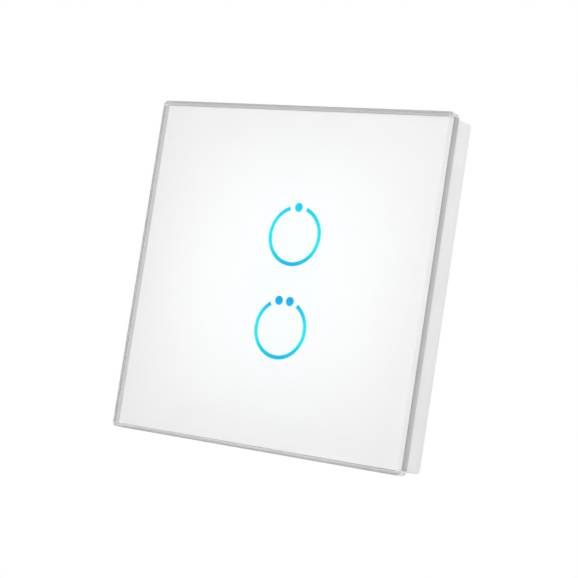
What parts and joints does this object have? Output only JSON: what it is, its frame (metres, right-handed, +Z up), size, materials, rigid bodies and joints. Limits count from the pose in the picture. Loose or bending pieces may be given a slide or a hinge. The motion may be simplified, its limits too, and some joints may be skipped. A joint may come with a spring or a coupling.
{
  "type": "touch light switch",
  "caption": "Square glass touch light switch with lit ring marks, a snap-off panel in a white frame, and a relay module with wire clamps behind a steel wall plate.",
  "frame": {"origin": "middle between the two box-screw slots, on the wall plane at the back of the mounting plate", "axes": "+Z up, +X to the right seen from the front, +Y into the wall; the glass faces -Y"},
  "size_m": [0.086, 0.0359, 0.086],
  "materials": {
    "clear_glass": "polished tempered glass",
    "white_enamel": "opaque white print",
    "tape": "foam bonding tape",
    "white_plastic": "fine-grained moulding",
    "module_plastic": "fine-grained moulding",
    "plated_steel": "zinc plated sheet",
    "spring_steel": "bright spring strip",
    "screw_steel": "zinc plated",
    "light_guide": "milky, lit cyan",
    "foam": "conductive foam",
    "touch_green": "solder mask",
    "power_green": "solder mask",
    "lamp": "clear epoxy",
    "chip_black": "moulded epoxy",
    "ceramic": "fired ceramic",
    "connector_black": "moulded",
    "gold_plate": "gold flash",
    "ferrite": "ground ferrite",
    "winding_tape": "polyester tape",
    "can_sleeve": "shrink sleeve",
    "film_box": "potted box",
    "varistor_blue": "dipped epoxy",
    "fuse_brown": "moulded cap",
    "relay_black": "moulded",
    "bobbin": "moulded",
    "copper": "enamelled wire",
    "relay_iron": "soft iron",
    "contact_bronze": "bright bronze",
    "relay_cover": "moulded",
    "terminal_grey": "moulded",
    "tinned_brass": "tinned",
    "clamp_steel": "zinc plated"
  },
  "bodies": {
    "module": {"mounting_plate": "plated_steel", "panel_clips": "spring_steel", "clip_rivets": "screw_steel", "front_housing": "module_plastic", "rear_housing": "module_plastic", "housing_screws": "screw_steel", "light_guide_upper": "light_guide", "light_guide_lower": "light_guide", "touch_pads": "foam", "touch_board": "touch_green", "indicator_leds": "lamp", "touch_chip": "chip_black", "chip_parts": "ceramic", "header_socket": "connector_black", "header_base": "connector_black", "header_pins": "gold_plate", "power_board": "power_green", "board_screws": "screw_steel", "transformer_core": "ferrite", "transformer_coil": "winding_tape", "bulk_capacitors": "can_sleeve", "film_capacitor": "film_box", "varistor": "varistor_blue", "fuse": "fuse_brown", "relay_1_base": "relay_black", "relay_1_bobbin": "bobbin", "relay_1_winding": "copper", "relay_1_iron": "relay_iron", "relay_1_fixed_contact": "contact_bronze", "relay_1_cover": "relay_cover", "relay_2_base": "relay_black", "relay_2_bobbin": "bobbin", "relay_2_winding": "copper", "relay_2_iron": "relay_iron", "relay_2_fixed_contact": "contact_bronze", "relay_2_cover": "relay_cover", "terminal_block": "terminal_grey", "terminal_contacts": "tinned_brass"},
    "front_panel": {"glass_panel": "clear_glass", "white_print": "white_enamel", "bonding_tape": "tape", "panel_frame": "white_plastic"},
    "relay_1_lever": {"relay_1_armature": "relay_iron", "relay_1_contact_spring": "contact_bronze"},
    "relay_2_lever": {"relay_2_armature": "relay_iron", "relay_2_contact_spring": "contact_bronze"},
    "clamp_screw_1": {"terminal_screw_1": "clamp_steel"},
    "clamp_screw_2": {"terminal_screw_2": "clamp_steel"},
    "clamp_screw_3": {"terminal_screw_3": "clamp_steel"},
    "wire_clamp_1": {"clamp_cage_1": "clamp_steel"},
    "wire_clamp_2": {"clamp_cage_2": "clamp_steel"},
    "wire_clamp_3": {"clamp_cage_3": "clamp_steel"}
  },
  "joints": [
    {"name": "panel_snap", "type": "slide", "parent": "module", "child": "front_panel", "axis": [0, -1, 0], "range_m": [0, 0.04], "deforming": ["panel_clips"]},
    {"name": "relay_1_switch", "type": "hinge", "parent": "module", "child": "relay_1_lever", "pos_m": [-0.011, 0.0207, 0.0072], "axis": [1, 0, 0], "range_deg": [0, 3], "stiffness_Nm_per_rad": 0.005},
    {"name": "relay_2_switch", "type": "hinge", "parent": "module", "child": "relay_2_lever", "pos_m": [0.011, 0.0207, 0.0072], "axis": [1, 0, 0], "range_deg": [0, 3], "stiffness_Nm_per_rad": 0.005},
    {"name": "clamp_1_turn", "type": "hinge", "parent": "module", "child": "clamp_screw_1", "pos_m": [-0.01, 0.0225, -0.0198], "axis": [0, -1, 0], "range_deg": [0, 1440]},
    {"name": "clamp_2_turn", "type": "hinge", "parent": "module", "child": "clamp_screw_2", "pos_m": [0, 0.0225, -0.0198], "axis": [0, -1, 0], "range_deg": [0, 1440]},
    {"name": "clamp_3_turn", "type": "hinge", "parent": "module", "child": "clamp_screw_3", "pos_m": [0.01, 0.0225, -0.0198], "axis": [0, -1, 0], "range_deg": [0, 1440]},
    {"name": "clamp_1_rise", "type": "slide", "parent": "module", "child": "wire_clamp_1", "axis": [0, 1, 0], "range_m": [0, 0.002]},
    {"name": "clamp_2_rise", "type": "slide", "parent": "module", "child": "wire_clamp_2", "axis": [0, 1, 0], "range_m": [0, 0.002]},
    {"name": "clamp_3_rise", "type": "slide", "parent": "module", "child": "wire_clamp_3", "axis": [0, 1, 0], "range_m": [0, 0.002]}
  ],
  "couplings": [
    {"joint": "clamp_1_turn", "follows": "clamp_1_rise", "rad_per_m": 12566},
    {"joint": "clamp_2_turn", "follows": "clamp_2_rise", "rad_per_m": 12566},
    {"joint": "clamp_3_turn", "follows": "clamp_3_rise", "rad_per_m": 12566}
  ]
}
